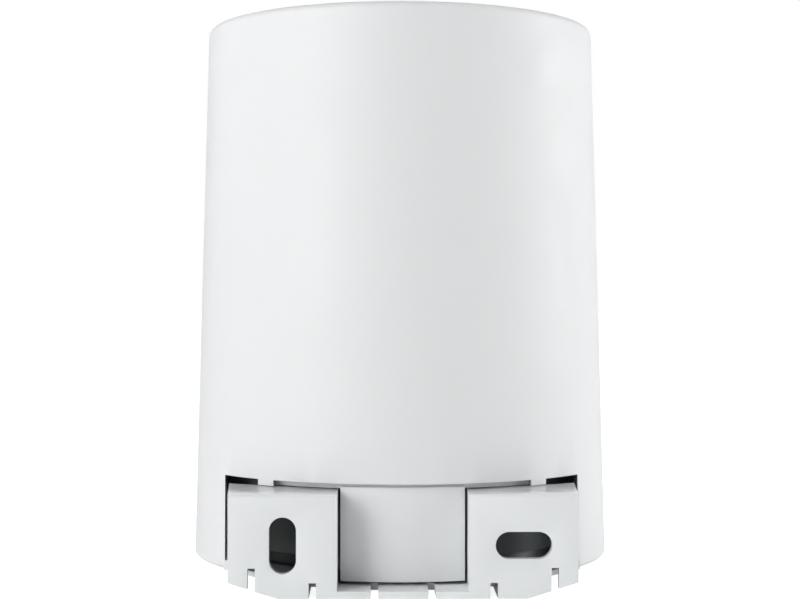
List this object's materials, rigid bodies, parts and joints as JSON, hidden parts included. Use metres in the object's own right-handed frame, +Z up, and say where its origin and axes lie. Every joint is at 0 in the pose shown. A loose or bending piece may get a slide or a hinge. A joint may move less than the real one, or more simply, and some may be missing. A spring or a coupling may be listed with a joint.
{
  "type": "motorised actuator head",
  "caption": "Round tapered actuator head that turns a valve stem through a quarter turn, with a slotted wall bracket, manual release, position dial and cable gland.",
  "frame": {"origin": "centre of the valve flange, on the axis of the drive socket, in the plane of the underside", "axes": "+Z up along the drive axis, +Y out of the two wall pads, the cable gland points along -Y"},
  "size_m": [0.078, 0.098, 0.1025],
  "materials": {
    "cover_white": "satin moulded",
    "bracket_grey": "satin moulded",
    "dark_grey": "satin moulded",
    "gland_grey": "moulded nylon",
    "rubber": "soft",
    "knob_grey": "satin moulded",
    "dial_grey": "printed satin",
    "pointer_orange": "satin",
    "lens_clear": "clear moulded",
    "zinc_steel": "zinc plated sheet",
    "bright_steel": "ground",
    "sintered_steel": "sintered",
    "brass": "turned",
    "bronze": "sintered bronze",
    "white_nylon": "moulded nylon",
    "motor_steel": "drawn steel",
    "magnet": "ferrite",
    "lamination": "stacked sheet",
    "black_plastic": "moulded",
    "lead_cover": "wire insulation",
    "component_blue": "moulded",
    "component_black": "moulded",
    "board_green": "solder mask",
    "terminal_green": "moulded",
    "capacitor": "sleeved can",
    "led_green": "moulded"
  },
  "bodies": {
    "base": {"mounting_bracket": "bracket_grey", "bracket_screws": "zinc_steel", "base_plate": "dark_grey", "flange_inserts": "brass", "lower_bush": "bronze", "gear_case": "dark_grey", "middle_plate": "zinc_steel", "case_screws": "zinc_steel", "gear_axles": "bright_steel", "support_pillars": "bright_steel", "upper_deck": "dark_grey", "deck_screws": "zinc_steel", "upper_bush": "bronze", "clutch_spring": "bright_steel", "release_spring": "bright_steel", "motor_can": "motor_steel", "motor_magnets": "magnet", "motor_end_cap": "black_plastic", "motor_leads": "lead_cover", "feedback_potentiometer": "component_blue", "circuit_board": "board_green", "board_carrier": "black_plastic", "terminal_block": "terminal_green", "terminal_screws": "zinc_steel", "board_relays": "component_blue", "board_capacitors": "capacitor", "board_chips": "component_black", "motor_connector": "white_nylon", "status_led": "led_green", "direction_switch_body": "component_black", "cable_entry_plate": "bracket_grey", "gland_body": "gland_grey", "gland_nut": "gland_grey", "gland_seal": "rubber", "gland_locknut": "gland_grey"},
    "output": {"output_shaft": "bright_steel", "output_gear": "sintered_steel", "output_circlip": "bright_steel", "position_knob": "knob_grey", "pointer_inlay": "pointer_orange"},
    "second_gear": {"second_pinion": "sintered_steel", "second_wheel": "sintered_steel"},
    "clutch": {"clutch_sleeve": "bronze"},
    "first_gear": {"first_pinion": "sintered_steel", "first_wheel": "white_nylon"},
    "rotor": {"motor_shaft": "bright_steel", "motor_pinion": "brass", "motor_armature": "lamination"},
    "feedback": {"feedback_gear": "white_nylon", "feedback_shaft": "bright_steel"},
    "release": {"release_button": "black_plastic", "release_rod": "bright_steel", "release_yoke": "zinc_steel"},
    "direction": {"direction_slider": "white_nylon"},
    "cover": {"cover_shell": "cover_white", "rear_panel": "cover_white", "dial_ring": "dial_grey", "led_lens": "lens_clear"}
  },
  "joints": [
    {"name": "output_turn", "type": "hinge", "parent": "base", "child": "output", "pos_m": [0, 0, 0], "axis": [0, 0, 1], "range_deg": [0, 90]},
    {"name": "second_gear_spin", "type": "hinge", "parent": "base", "child": "second_gear", "pos_m": [-0.01749, 0.00504, 0], "axis": [0, 0, 1], "range_deg": [-300.01, 0]},
    {"name": "release_press", "type": "slide", "parent": "base", "child": "release", "axis": [0, 0, 1], "range_m": [-0.003, 0], "stiffness_N_per_m": 350, "springref_m": 0.003, "deforming": ["release_spring"]},
    {"name": "clutch_shift", "type": "slide", "parent": "base", "child": "clutch", "axis": [0, 0, 1], "range_m": [-0.003, 0], "deforming": ["clutch_spring"]},
    {"name": "first_gear_spin", "type": "hinge", "parent": "clutch", "child": "first_gear", "pos_m": [-0.00776, 0.01646, 0], "axis": [0, 0, 1], "range_deg": [0, 950.01]},
    {"name": "rotor_spin", "type": "hinge", "parent": "base", "child": "rotor", "pos_m": [0.00622, 0.0171, 0], "axis": [0, 0, 1], "range_deg": [-3483.34, 0]},
    {"name": "feedback_spin", "type": "hinge", "parent": "base", "child": "feedback", "pos_m": [0.021, 0, 0], "axis": [0, 0, 1], "range_deg": [-180.01, 0]},
    {"name": "direction_slide", "type": "slide", "parent": "base", "child": "direction", "axis": [1, 0, 0], "range_m": [0, 0.002]},
    {"name": "cover_lift", "type": "slide", "parent": "base", "child": "cover", "axis": [0, 0, 1], "range_m": [0, 0.105]}
  ],
  "couplings": [
    {"joint": "second_gear_spin", "follows": "output_turn", "ratio": -3.3333},
    {"joint": "first_gear_spin", "follows": "output_turn", "ratio": 10.556},
    {"joint": "rotor_spin", "follows": "output_turn", "ratio": -38.704},
    {"joint": "feedback_spin", "follows": "output_turn", "ratio": -2},
    {"joint": "clutch_shift", "follows": "release_press", "ratio": 1}
  ]
}
